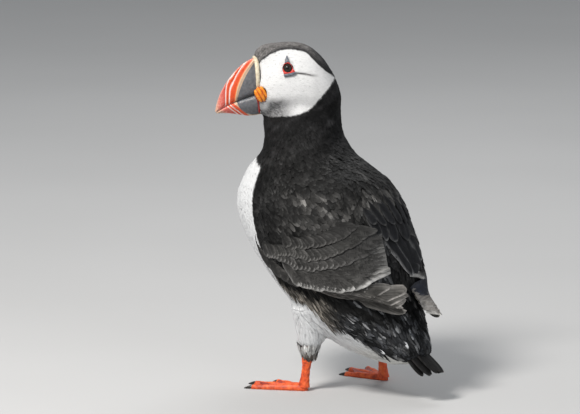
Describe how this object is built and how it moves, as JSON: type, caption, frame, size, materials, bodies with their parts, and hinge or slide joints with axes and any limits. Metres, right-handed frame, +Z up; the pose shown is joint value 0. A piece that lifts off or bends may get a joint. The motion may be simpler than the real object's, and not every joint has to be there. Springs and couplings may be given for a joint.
{
  "type": "atlantic puffin",
  "caption": "Life-size still Atlantic puffin standing upright on webbed feet, wings folded, head turned to its left, with a deep banded bill.",
  "frame": {"origin": "on the floor, under the middle of the whole bird's box", "axes": "+Z up; the body faces -Y, so the bird's left side is +X; the head is turned 52 degrees to its left"},
  "size_m": [0.105, 0.1654, 0.2288],
  "materials": {
    "white_plumage": "soft overlapping white contour feathers",
    "black_plumage": "short dense sooty black feathers",
    "grey_plumage": "fluffy mottled grey-black feathers",
    "tail_feathers": "stiff black vanes with frayed tips",
    "wing_coverts": "black-brown scaly feathers with paler fringes",
    "flight_feathers": "long brown-black vanes with thin pale edges",
    "bill_horn": "ridged horn in slate, cream, orange and red bands",
    "cream_horn": "pale cream horn band",
    "rosette_skin": "folded fleshy orange-yellow skin",
    "eyelid_skin": "bare red-orange skin",
    "slate_horn": "small slate-blue horny plates",
    "eye": "dark brown wet eye",
    "leg_skin": "scaly orange-red skin and webs",
    "claw_horn": "black curved horn"
  },
  "bodies": {
    "root": {"rosette_left": "rosette_skin", "eye_left": "eye", "eye_ring_left": "eyelid_skin", "eye_plate_upper_left": "slate_horn", "eye_plate_lower_left": "slate_horn", "rosette_right": "rosette_skin", "eye_right": "eye", "eye_ring_right": "eyelid_skin", "eye_plate_upper_right": "slate_horn", "eye_plate_lower_right": "slate_horn", "bill_upper": "bill_horn", "bill_lower": "bill_horn", "bill_band": "cream_horn", "head": "white_plumage", "neck": "black_plumage", "trunk": "white_plumage", "rump": "grey_plumage", "tail": "tail_feathers", "wing_coverts_left": "wing_coverts", "wing_secondaries_left": "flight_feathers", "wing_primaries_left": "flight_feathers", "thigh_left": "white_plumage", "shank_left": "leg_skin", "foot_left": "leg_skin", "claw_inner_left": "claw_horn", "claw_middle_left": "claw_horn", "claw_outer_left": "claw_horn", "wing_coverts_right": "wing_coverts", "wing_secondaries_right": "flight_feathers", "wing_primaries_right": "flight_feathers", "thigh_right": "white_plumage", "shank_right": "leg_skin", "foot_right": "leg_skin", "claw_inner_right": "claw_horn", "claw_middle_right": "claw_horn", "claw_outer_right": "claw_horn"}
  },
  "joints": []
}
